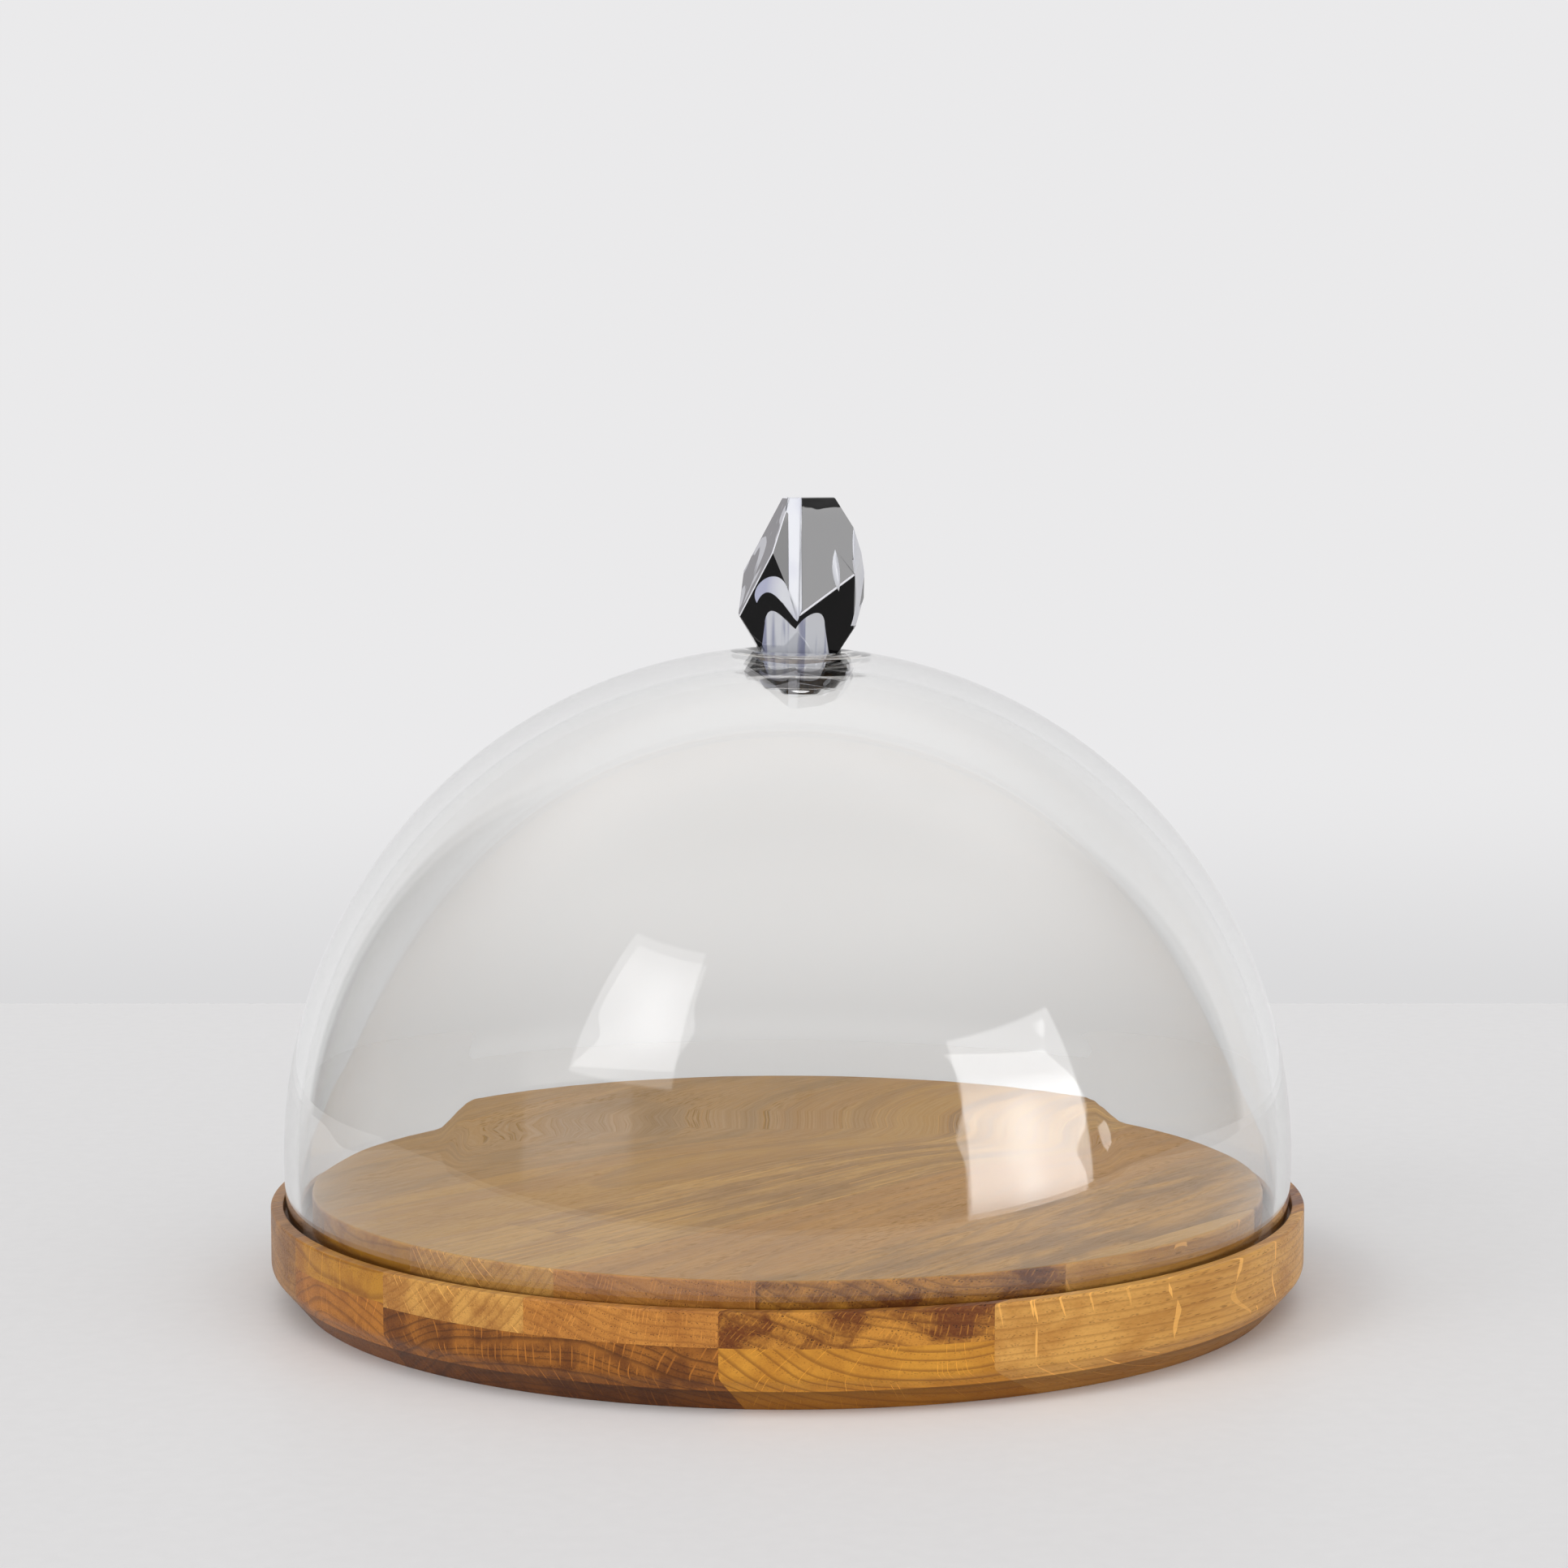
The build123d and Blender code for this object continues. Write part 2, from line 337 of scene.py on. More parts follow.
def shade_smooth_between(bm, sharp_angle):
    """Smooth faces, with every edge steeper than the angle kept sharp."""
    for face in bm.faces:
        face.smooth = True
    for edge in bm.edges:
        if len(edge.link_faces) == 2:
            edge.smooth = edge.calc_face_angle(0.0) < sharp_angle


def add_piece(piece, body, slot_name, materials, *nodes):
    """Gives a finished piece its body and materials, in place of its CAD nodes."""
    for material in materials:
        piece.data.materials.append(material)
    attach(piece, body)
    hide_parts(*nodes)


# ---------------------------------------------------------------------- oak
def groove_painted_shade(g, place):
    """1 inside the board's groove, where the oak is darkened with painted shade, else 0."""
    x, y, z = g.split(place)
    radius = g.length(x, y)
    edge = 0.3 * MM
    ring = g.times(g.step(radius, GROOVE_INNER_RADIUS - edge, GROOVE_INNER_RADIUS),
                   g.step(radius, GROOVE_OUTER_RADIUS, GROOVE_OUTER_RADIUS + edge, 1.0, 0.0))
    return g.times(ring, g.step(z, LEDGE_TOP - 2.0 * MM, LEDGE_TOP - 1.0 * MM, 0.8, 0.0))


def deck_painted_light(g, place):
    """1 on the deck's flat top, where painted light makes the oak paler and more even than on the board's
    side, else 0.
    """
    return g.step(g.split(place)[2], DECK_TOP - 0.3 * MM, DECK_TOP - 0.1 * MM)


def foot_painted_light(g, place):
    """1 low on the board's chamfered foot, where painted light makes the oak paler, else 0."""
    return g.step(g.split(place)[2], FOOT_CHAMFER_HEIGHT - 9 * MM, FOOT_CHAMFER_HEIGHT - 2.5 * MM, 1.0, 0.0)


def stretched(g, along, across, up, length, width, seed_along=0.0, seed_up=0.0):
    """A place in the wood, scaled for a pattern that is longer along the grain than across it."""
    return g.join(
        g.math("MULTIPLY_ADD", along, 1 / length, seed_along),
        g.times(across, 1 / width),
        g.math("MULTIPLY_ADD", up, 1 / width, seed_up))


def about_pith(g, along, across, up, pith, tilt, warp, seed):
    """The distance from the log's pith and the angle about it, with the log's own wander."""
    wander_place = stretched(g, along, across, up, WANDER_LENGTH, WANDER_WIDTH, seed_along=seed)
    wander = g.node("ShaderNodeTexNoise", {"Vector": wander_place, "Scale": 1.0, "Detail": 1.5})
    shift_across, shift_up, _ = g.split(wander.outputs["Color"])
    side = g.add(across, -pith[0], g.times(g.add(shift_across, -0.5), 2 * warp))
    rise = g.add(up, -pith[1], g.times(g.add(shift_up, -0.5), 2 * warp), g.times(along, tilt))
    return g.length(side, rise), g.math("ARCTAN2", rise, side)


def growth_rings(g, radius, along, ring_gap, seed):
    """Open early wood at the start of each ring, and a dense dark line at its end."""
    wander = g.noise(g.join(g.times(radius, 1 / RING_WANDER_DEPTH), seed,
                            g.times(along, 1 / RING_WANDER_LENGTH)), detail=1.0)
    phase = g.math("FRACT", g.add(g.times(radius, 1 / ring_gap), g.times(wander, 1.6)))
    early = g.step(phase, 0.0, 0.45, 1.0, 0.0)
    late_line = g.times(g.step(phase, 0.62, 0.9), g.step(phase, 0.93, 1.0, 1.0, 0.0))
    return early, late_line


def wood_rays(g, place_in_row, place_out, place_along, half_width, share):
    """Thin straight ribbons out from the pith, one here and there among many possible places."""
    cell = g.join(g.math("FLOOR", place_in_row), g.math("FLOOR", place_out), g.math("FLOOR", place_along))
    chance = g.node("ShaderNodeTexWhiteNoise", {"Vector": cell}).outputs
    shift, _, strength = g.split(chance["Color"])
    middle = g.math("MULTIPLY_ADD", shift, 0.6, -0.8)
    off_middle = g.math("ABSOLUTE", g.add(g.math("FRACT", place_in_row), middle))
    to_end = g.math("ABSOLUTE", g.add(g.math("FRACT", place_out), -0.5))
    thin_line = g.math("LESS_THAN", off_middle, g.step(to_end, 0.2, 0.5, half_width, 0.0))
    chosen = g.math("LESS_THAN", chance["Value"], share)
    return g.times(thin_line, chosen, g.step(strength, 0.0, 1.0, 0.4, 1.0))


def open_pores(g, along, across, up, early):
    """Long tubes, crowded into the early wood."""
    pore_place = stretched(g, along, across, up, PORE_LENGTH, PORE_WIDTH)
    distance = g.node("ShaderNodeTexVoronoi", {"Vector": pore_place, "Scale": 1.0}).outputs["Distance"]
    crowd = g.math("MULTIPLY_ADD", early, 0.8, 0.25)
    return g.times(g.step(distance, 0.2, 0.42, 1.0, 0.0), crowd)


def oak_finish(g, colour, pore, fibre, ray):
    """Oiled oak: pores sink in and stay dull, rays stand a little proud."""
    height = g.add(g.times(pore, -1.0), g.times(fibre, 0.25), g.times(ray, 0.15))
    finish = g.node("ShaderNodeBsdfPrincipled", {
        "Base Color": colour,
        "Roughness": g.step(g.add(fibre, g.times(pore, 0.6)), 0.3, 1.1, 0.34, 0.6),
        "Normal": g.bump(height, 0.12 * MM, 0.6)})
    finish.inputs["Specular IOR Level"].default_value = 0.25
    return finish


def oak_material(name, light, dark, line, pith, ring_gap, rays=0.8, ray_gap=2.0, ray_height=9.0,
                 ray_share=0.5, tilt=0.03, warp=3.0, figure=0.5, pores=0.6, lines=0.6, seed=0.0):
    """Oak cut from a log whose pith runs along the grain at pith = (across, up) in millimetres."""
    material, g = new_material(name)
    place = g.place()
    turned = g.node("ShaderNodeMapping", {
        "Vector": place,
        "Rotation": (0.0, 0.0, -GRAIN_ANGLE),
        "Scale": (1 / MM, 1 / MM, 1 / MM)}).outputs[0]
    along, across, up = g.split(turned)

    radius, turn = about_pith(g, along, across, up, pith, tilt, warp, seed)
    early, late_line = growth_rings(g, radius, along, ring_gap, seed)
    place_in_row = g.times(turn, math.hypot(*pith) / ray_gap)
    place_out = g.add(g.times(radius, 1 / ray_height), seed)
    place_along = g.times(along, 1 / (2 * ray_height))
    ray = g.times(wood_rays(g, place_in_row, place_out, place_along, RAY_WIDTH / ray_gap, ray_share), rays)
    pore = g.times(open_pores(g, along, across, up, early), pores)
    broad_place = stretched(g, along, across, up, FIGURE_LENGTH, FIGURE_WIDTH, seed_up=seed)
    broad = g.noise(broad_place, detail=3.0, roughness=0.55, distortion=0.4)
    fibre = g.noise(stretched(g, along, across, up, FIBRE_LENGTH, FIBRE_WIDTH), detail=3.0, roughness=0.6)

    tone = g.add(g.times(g.step(broad, 0.34, 0.66), figure), g.times(g.add(fibre, -0.5), 0.8))
    colour = g.mix(tone, light, dark)
    colour = g.mix(g.times(late_line, lines), colour, line)
    colour = g.mix(pore, colour, scaled(line, 0.35))
    colour = g.mix(ray, colour, scaled(light, 1.5))
    # Painted light: the deck's top is made paler and yellower.
    colour = g.mix(g.times(deck_painted_light(g, place), DECK_PAINTED_LIGHT_SHARE), colour, rgb(*DECK_PAINTED_LIGHT_COLOUR))
    # Painted light: the oak low on the foot is made paler, standing in for light from the floor in front.
    colour = g.mix(foot_painted_light(g, place), colour, g.mix(1.0, colour, FOOT_PAINTED_LIGHT_GAIN, "MULTIPLY"))
    # Painted shade: the oak in the groove is darkened to stand in for the shade there.
    colour = g.mix(groove_painted_shade(g, place), colour, scaled(dark, 0.3))
    g.surface(oak_finish(g, colour, pore, fibre, ray))
    return material


# -------------------------------------------------------------------- board
def rounded(corners, start, end, segments=5):
    """Corners of (radius, height, rounding) as points, with a support point on each side of a rounding."""
    places = [Vector(start)] + [Vector(corner[:2]) for corner in corners] + [Vector(end)]
    points = []
    for n, corner in enumerate(corners, 1):
        here, rounding = places[n], corner[2]
        before = (places[n - 1] - here).normalized()
        after = (places[n + 1] - here).normalized()
        half_opening = before.angle(after) / 2
        reach = rounding / math.tan(half_opening)
        centre = here + (before + after).normalized() * rounding / math.sin(half_opening)
        first = here + before * reach - centre
        last = here + after * reach - centre
        points.append(here + before * (reach + EDGE_SUPPORT))
        for step in range(segments + 1):
            points.append(centre + first.lerp(last, step / segments).normalized() * rounding)
        points.append(here + after * (reach + EDGE_SUPPORT))
    return points


def board_profile():
    """The turned board's outline, from the underside's edge round to the deck's edge."""
    board_radius = cad_box[1][0]
    corners = [
        (FOOT_RADIUS, 0.0, 0.4 * MM),
        (board_radius, FOOT_CHAMFER_HEIGHT, 4 * MM),
        (board_radius, LEDGE_TOP, 0.6 * MM),
        (GROOVE_OUTER_RADIUS, LEDGE_TOP, 0.4 * MM),
        (GROOVE_OUTER_RADIUS, GROOVE_FLOOR, 0.5 * MM),
        (GROOVE_INNER_RADIUS, GROOVE_FLOOR, 0.5 * MM),
        (GROOVE_INNER_RADIUS, DECK_TOP, 0.7 * MM),
    ]
    return rounded(corners, (0.0, 0.0), (0.0, DECK_TOP))


def turned_blank():
    """The whole board as one closed lathe mesh."""
    bm = bmesh.new()
    rings = []
    for point in board_profile():
        ring = []
        for n in range(BOARD_SEGMENTS):
            angle = 2 * math.pi * n / BOARD_SEGMENTS
            ring.append(bm.verts.new((point.x * math.cos(angle), point.x * math.sin(angle), point.y)))
        rings.append(ring)
    for lower, upper in zip(rings, rings[1:]):
        for n in range(BOARD_SEGMENTS):
            m = (n + 1) % BOARD_SEGMENTS
            bm.faces.new((lower[n], lower[m], upper[m], upper[n]))
    bm.faces.new(list(reversed(rings[0])))
    bm.faces.new(rings[-1])
    bmesh.ops.recalc_face_normals(bm, faces=bm.faces)
    return bm


def cut_away(bm, point, outward):
    """Takes off everything beyond a plane and closes the cut."""
    cut = bmesh.ops.bisect_plane(
        bm, geom=bm.verts[:] + bm.edges[:] + bm.faces[:], dist=1e-7,
        plane_co=point, plane_no=outward, clear_outer=True)
    edges = [item for item in cut["geom_cut"] if isinstance(item, bmesh.types.BMEdge)]
    open_edges = [edge for edge in edges if edge.is_boundary]
    if open_edges:
        bmesh.ops.holes_fill(bm, edges=open_edges, sides=0)


def stave(name, slot_name, material, across=None, height=None, along=None):
    """One stave: the blank between its joints across the grain, up and along the grain."""
    bm = turned_blank()
    for direction, limits in ((ACROSS, across), (UP, height), (GRAIN, along)):
        for limit, side in zip(limits or (None, None), (-1, 1)):
            if limit is not None:
                cut_away(bm, direction * limit, direction * side)
    bmesh.ops.recalc_face_normals(bm, faces=bm.faces)
    shade_smooth_between(bm, math.radians(35))
    add_piece(mesh_object(name + "_oak", bm), "board", slot_name, [material], name)


def strip(n):
    """Where a strip's two joints lie across the grain; strip 0 is the one inside the first joint."""
    return FIRST_JOINT + n * STAVE_WIDTH, FIRST_JOINT + (n + 1) * STAVE_WIDTH


def make_front_staves(upper, lower):
    """The front edge stave, and the two strips behind it that show on the board's front left."""
    stave("front_edge_stave", "oak_tan", oak_material(
        "oak_front_edge", light=rgb(213, 159, 81), dark=rgb(179, 123, 53), line=rgb(139, 84, 33),
        pith=(-150, -140), ring_gap=2.6, ray_gap=4.5, ray_height=11, ray_share=0.5, tilt=0.02,
        figure=0.8, pores=0.5, lines=0.35, seed=1.3),
        across=(None, FIRST_JOINT))
    stave("front_stave_upper", "oak_figured", oak_material(
        "oak_front_upper", light=rgb(196, 134, 51), dark=rgb(109, 57, 19), line=rgb(89, 44, 14),
        pith=(-150, 120), ring_gap=3.0, rays=0.35, ray_gap=1.6, ray_height=3, tilt=0.09, warp=6,
        figure=1.0, pores=0.9, lines=0.45, seed=3.1),
        across=strip(0), height=upper)
    stave("front_stave_lower", "oak_gold", oak_material(
        "oak_front_lower", light=rgb(204, 143, 49), dark=rgb(176, 115, 35), line=rgb(122, 72, 22),
        pith=(-128, 52), ring_gap=2.9, ray_gap=3.0, ray_height=7, ray_share=0.35, tilt=0.0, warp=2.2,
        figure=0.7, pores=0.4, lines=0.6, seed=5.7),
        across=strip(0), height=lower)
    stave("second_stave_upper", "oak_orange", oak_material(
        "oak_second_upper", light=rgb(191, 128, 56), dark=rgb(148, 88, 33), line=rgb(113, 60, 23),
        pith=(-90, 150), ring_gap=2.4, rays=0.5, ray_gap=1.4, ray_height=4, ray_share=0.4, tilt=0.04,
        figure=0.6, pores=0.8, lines=0.3, seed=7.9),
        across=strip(1), height=upper)


def make_middle_staves(upper, lower):
    """The middle strip in two lengths, over one wide stave that reaches under its neighbour."""
    stave("centre_stave_upper", "oak_figured", oak_material(
        "oak_centre_upper", light=rgb(205, 150, 74), dark=rgb(130, 77, 30), line=rgb(107, 62, 23),
        pith=(60, 92), ring_gap=2.8, ray_gap=2.6, ray_height=12, ray_share=0.7, tilt=0.03,
        figure=1.0, pores=0.6, lines=0.4, seed=11.2),
        across=strip(2), height=upper, along=(END_JOINT, None))
    stave("centre_stave_upper_end", "oak_pale", oak_material(
        "oak_centre_end", light=rgb(205, 152, 76), dark=rgb(152, 95, 40), line=rgb(128, 77, 32),
        pith=(60, 96), ring_gap=2.6, ray_gap=3.0, ray_height=14, tilt=0.01,
        figure=0.7, pores=0.6, lines=0.35, seed=12.6),
        across=strip(2), height=upper, along=(None, END_JOINT))
    stave("wide_stave_lower", "oak_dark", oak_material(
        "oak_wide_lower", light=rgb(154, 95, 33), dark=rgb(104, 57, 18), line=rgb(70, 37, 11),
        pith=(-40, -95), ring_gap=2.6, ray_gap=2.2, ray_height=7, ray_share=0.7, tilt=0.02, warp=3.5,
        figure=0.9, pores=0.6, lines=0.6, seed=13.4),
        across=(strip(1)[0], strip(2)[1]), height=lower)


def make_back_staves():
    """The fourth strip in two layers, and the fifth strip and the back edge in one."""
    stave("fourth_stave_upper", "oak_gold", oak_material(
        "oak_fourth_upper", light=rgb(183, 128, 40), dark=rgb(141, 82, 25), line=rgb(111, 60, 18),
        pith=(30, 100), ring_gap=5.5, ray_gap=5.0, ray_height=14, ray_share=0.35, tilt=0.02,
        figure=0.6, pores=0.4, lines=0.45, seed=17.8),
        across=strip(3), height=(THIN_LAYER_JOINT, None))
    stave("fourth_stave_lower", "oak_orange", oak_material(
        "oak_fourth_lower", light=rgb(176, 112, 39), dark=rgb(128, 73, 25), line=rgb(98, 53, 18),
        pith=(42, -28), ring_gap=3.2, ray_gap=4.0, ray_height=12, tilt=0.0,
        figure=0.6, pores=0.45, lines=0.5, seed=19.1),
        across=strip(3), height=(None, THIN_LAYER_JOINT))
    stave("fifth_stave", "oak_tan", oak_material(
        "oak_fifth", light=rgb(163, 113, 53), dark=rgb(126, 81, 33), line=rgb(102, 62, 25),
        pith=(95, -120), ring_gap=3.0, ray_gap=3.0, ray_height=8, ray_share=0.4, tilt=0.04,
        figure=0.8, pores=0.6, lines=0.4, seed=23.5),
        across=strip(4))
    stave("back_edge_stave", "oak_tan", oak_material(
        "oak_back_edge", light=rgb(176, 126, 62), dark=rgb(139, 90, 37), line=rgb(111, 68, 28),
        pith=(150, -120), ring_gap=3.2, ray_gap=4.0, ray_height=9, ray_share=0.45, tilt=0.03,
        figure=0.7, pores=0.5, lines=0.4, seed=29.9),
        across=(strip(4)[1], None))


def make_board():
    upper = (LAYER_JOINT, None)
    lower = (None, LAYER_JOINT)
    make_front_staves(upper, lower)
    make_middle_staves(upper, lower)
    make_back_staves()


# -------------------------------------------------------------- clear glass
def glass_material():
    """Clear glass. Light that only passes through it, to light the board, goes straight."""
    material, g = new_material("clear_glass")
    glass = g.node("ShaderNodeBsdfPrincipled")
    glass.inputs["Base Color"].default_value = GLASS_TINT
    glass.inputs["Roughness"].default_value = 0.0
    glass.inputs["IOR"].default_value = 1.5
    glass.inputs["Transmission Weight"].default_value = 1.0
    edge = g.node("ShaderNodeLayerWeight", {"Blend": 0.35}).outputs["Facing"]
    pass_colour = g.mix(g.step(edge, 0.35, 1.0), STRAIGHT_TINT, STRAIGHT_EDGE_TINT)
    straight = g.node("ShaderNodeBsdfTransparent", {"Color": pass_colour})
    path = g.node("ShaderNodeLightPath")
    lights_board = g.math("MAXIMUM", path.outputs["Is Shadow Ray"], path.outputs["Is Diffuse Ray"])
    both = g.node("ShaderNodeMixShader")
    g.put(both.inputs[0], lights_board)
    g.put(both.inputs[1], glass.outputs[0])
    g.put(both.inputs[2], straight.outputs[0])
    g.surface(both)
    return material


def on_sphere(sphere_radius, centre_height, polar, azimuth):
    """A point on the dome's outer or inner sphere, on rings that centre on the handle near the crown."""
    ring = sphere_radius * math.sin(polar)
    x = HANDLE_X * (1 - smoothstep(*CENTRED_FROM, ring)) + ring * math.cos(azimuth)
    y = ring * math.sin(azimuth)
    if polar < STEEP:
        z = centre_height + math.sqrt(sphere_radius**2 - x * x - y * y)
    else:
        z = centre_height + sphere_radius * math.cos(polar)
    return Vector((x, y, z)), ring


def outer_point(polar, azimuth):
    """The outer wall, with a shallow seat for the handle."""
    point, ring = on_sphere(DOME_RADIUS, DOME_CENTRE, polar, azimuth)
    share = smoothstep(*SEAT_EDGE, ring)
    point.z = (SEAT_HEIGHT - SEAT_GAP) * (1 - share) + point.z * share
    return point


def belly_height(ring, azimuth):
    """The underside of the boss: a drop with three rounded steps."""
    share = ring / BOSS_RADIUS
    drop = BOSS_BOTTOM + BELLY_DEPTH * share**2
    steps = BELLY_STEP * math.sin(2 * math.pi * (share * BELLY_STEP_COUNT - 0.1))
    lobes = BELLY_LOBE * math.cos(3 * azimuth + 0.7) * share
    return drop + (steps + lobes) * smoothstep(0.0, 0.35, share)


def wave(height, azimuth):
    """How far the front wall is thinned by the blower's shaping, azimuth from +X."""
    azimuth_from_front = math.remainder(math.degrees(azimuth) + WAVE_TURN, 360)
    off_front = abs(azimuth_from_front)
    inside = smoothstep(*WAVE_EDGE, off_front)
    beside = smoothstep(*reversed(WAVE_EDGE), off_front) * smoothstep(*WAVE_FAR_EDGE, off_front)
    middle = WAVE_HEIGHT - WAVE_SAG * min(off_front / WAVE_HALF_SPAN, 1.5) ** 2
    turn = math.pi * (height - middle) / WAVE_HALF_LENGTH
    envelope = smoothstep(3.5, 1.5, abs(turn))
    counter = COUNTER_WAVE_LEFT if azimuth_from_front < 0 else COUNTER_WAVE_RIGHT
    return WAVE_DEPTH * (inside - counter * beside) * math.sin(turn) * envelope


def inner_point(polar, azimuth):
    """The inner wall with its wave, and the belly of the boss in the middle."""
    point, ring = on_sphere(BORE_RADIUS, BORE_CENTRE, polar, azimuth)
    outward = Vector((math.cos(azimuth), math.sin(azimuth), 0.0))
    point += outward * wave(point.z, azimuth)
    share = smoothstep(BOSS_RADIUS - 1.5 * MM, BOSS_RADIUS + 2.0 * MM, ring)
    if share < 1:
        point.z = belly_height(ring, azimuth) * (1 - share) + point.z * share
    return point


def polar_steps(sphere_radius, last, fine_count, count):
    """Angles from the crown to the rim, in fine steps around the handle's seat and boss."""
    fine_step = 0.4 * MM / sphere_radius
    fine = [n * fine_step for n in range(1, fine_count + 1)]
    start = fine[-1]
    return fine + [start + (last - start) * n / count for n in range(1, count + 1)]


def arc_points(centre, radius, start, end, count):
    """Points along an arc in the profile plane, angles in degrees from outward."""
    points = []
    for n in range(count + 1):
        angle = math.radians(start + (end - start) * n / count)
        points.append((centre[0] + radius * math.cos(angle), centre[1] + radius * math.sin(angle)))
    return points


def rim_polar(sphere_radius, centre_height):
    """The angle from the crown at which a wall meets the rim's rounding."""
    return math.pi - math.acos((centre_height - RIM_HEIGHT - RIM_ROUND) / sphere_radius)


def dome_rings(angles):
    """The shell's rings of points: down the outer wall, round the rim and up the inner wall."""
    outer_last = rim_polar(DOME_RADIUS - RIM_ROUND, DOME_CENTRE)
    inner_last = rim_polar(BORE_RADIUS + RIM_ROUND, BORE_CENTRE)
    outer_rim = ((DOME_RADIUS - RIM_ROUND) * math.sin(outer_last), RIM_HEIGHT + RIM_ROUND)
    inner_rim = ((BORE_RADIUS + RIM_ROUND) * math.sin(inner_last), RIM_HEIGHT + RIM_ROUND)
    rings = []
    for polar in polar_steps(DOME_RADIUS, outer_last, fine_count=45, count=60):
        rings.append([outer_point(polar, a) for a in angles])
    for centre, start, end in ((outer_rim, -8, -90), (inner_rim, -90, -180)):
        for r, z in arc_points(centre, RIM_ROUND, start, end, RIM_STEPS):
            rings.append([Vector((r * math.cos(a), r * math.sin(a), z)) for a in angles])
    for polar in reversed(polar_steps(BORE_RADIUS, inner_last, fine_count=52, count=100)):
        rings.append([inner_point(polar, a) for a in angles])
    return rings


def make_dome():
    """The blown dome and its crown boss: one continuous wall, with the handle's seat on top."""
    angles = [2 * math.pi * n / GLASS_SEGMENTS for n in range(GLASS_SEGMENTS)]
    bm = bmesh.new()
    rings = [[bm.verts.new(point) for point in ring] for ring in dome_rings(angles)]
    for first, second in zip(rings, rings[1:]):
        for n in range(GLASS_SEGMENTS):
            m = (n + 1) % GLASS_SEGMENTS
            bm.faces.new((first[n], second[n], second[m], first[m]))
    top = bm.verts.new((HANDLE_X, 0, SEAT_HEIGHT - SEAT_GAP))
    bottom = bm.verts.new((HANDLE_X, 0, BOSS_BOTTOM))
    for n in range(GLASS_SEGMENTS):
        m = (n + 1) % GLASS_SEGMENTS
        bm.faces.new((top, rings[0][n], rings[0][m]))
        bm.faces.new((bottom, rings[-1][m], rings[-1][n]))
    bmesh.ops.recalc_face_normals(bm, faces=bm.faces)
    shade_smooth_between(bm, math.radians(60))
    piece = mesh_object("dome_glass", bm)
    add_piece(piece, "dome", "clear_glass", [glass_material()], "glass_dome", "crown_boss")


# ------------------------------------------------------------------- handle
def polished(g, colour, roughness=0.03, gloss=0.5):
    """The finish that all of the handle's glasses share."""
    finish = g.node("ShaderNodeBsdfPrincipled", {"Base Color": colour})
    finish.inputs["Roughness"].default_value = roughness
    finish.inputs["IOR"].default_value = 1.6
    finish.inputs["Specular IOR Level"].default_value = gloss
    g.surface(finish)
    return finish


def black_glass(name, gloss):
    """Polished black glass, whose facets roll over a little towards the top."""
    material, g = new_material(name)
    place = g.millimetres()
    height = g.split(place)[2]
    cloud = g.noise(place, scale=0.12, detail=3.0)
    finish = polished(g, g.mix(cloud, rgb(8, 8, 8), rgb(14, 13, 14)), 0.02, gloss)
    sway = g.times(g.noise(place, scale=0.16, detail=1.0), 2.0)
    over = g.math("MAXIMUM", g.add(height, ROLL_OVER_DROP - HANDLE_TOP / MM, sway), 0.0)
    g.put(finish.inputs["Normal"], g.bump(g.times(over, over, ROLL_OVER_BEND), MM))
    return material


def left_facet_painted_reflection():
    """The handle's left facet: a grey painted reflection of the softbox on black glass, with paler streaks
    of white glass rising in it.
    """
    material, g = new_material("left_facet_painted_reflection")
    x, y, z = g.split(g.millimetres())
    rising = g.join(g.times(x, 1 / 5), g.times(y, 1 / 4.5), g.math("MULTIPLY_ADD", z, 1 / 16, 4.4))
    streak = g.noise(rising, detail=1.0, distortion=0.5)
    # Painted reflection: the grey base stands in for the softbox's reflection; the paler streaks are the
    # white glass.
    polished(g, g.mix(g.step(streak, 0.53, 0.58), rgb(112, 110, 114), rgb(176, 176, 182)), 0.04)
    return material


def edge_painted_highlight():
    """A fine pale matt line along edges between polished facets: a painted highlight."""
    material, g = new_material("edge_painted_highlight")
    grit = g.noise(g.millimetres(), scale=6.0, detail=2.0)
    polished(g, g.mix(grit, rgb(196, 197, 204), rgb(232, 232, 236)), 0.45)
    return material


def white_glass():
    """Opal white glass, a little greyer in streaks, and greyer on the handle's left with painted shade."""
    material, g = new_material("white_glass")
    x, y, z = g.split(g.millimetres())
    streak = g.noise(g.join(g.times(x, 1 / 9), g.times(y, 1 / 9), g.times(z, 1 / 14)), detail=1.0)
    # The streaks are the glass's own; the greying towards the handle's left is painted shade.
    streak_and_painted_shade = g.add(g.step(streak, 0.4, 0.8, 0.0, 0.5), g.step(x, -8.0, -1.0, 1.0, 0.0))
    colour = g.mix(g.math("MINIMUM", streak_and_painted_shade, 1.0), rgb(205, 207, 212), rgb(166, 169, 190))
    polished(g, colour, gloss=0.35)
    return material


def opal_glass():
    """Milky glass with upright folds, with painted shade making it darker and bluer in the folds' hollows.
    """
    material, g = new_material("opal_glass")
    x, y, z = g.split(g.millimetres())
    fold_place = g.join(g.times(x, 1 / 2.6), g.times(y, 1 / 9), g.times(z, 1 / 26))
    fold = g.noise(fold_place, detail=1.0, distortion=0.6)
    # Painted shade: the folds' hollows take the darker, bluer colour.
    finish = polished(g, g.mix(g.step(fold, 0.36, 0.56), rgb(134, 137, 158), rgb(190, 192, 197)), 0.04)
    g.put(finish.inputs["Normal"], g.bump(fold, 0.5 * MM, 0.5))
    return material


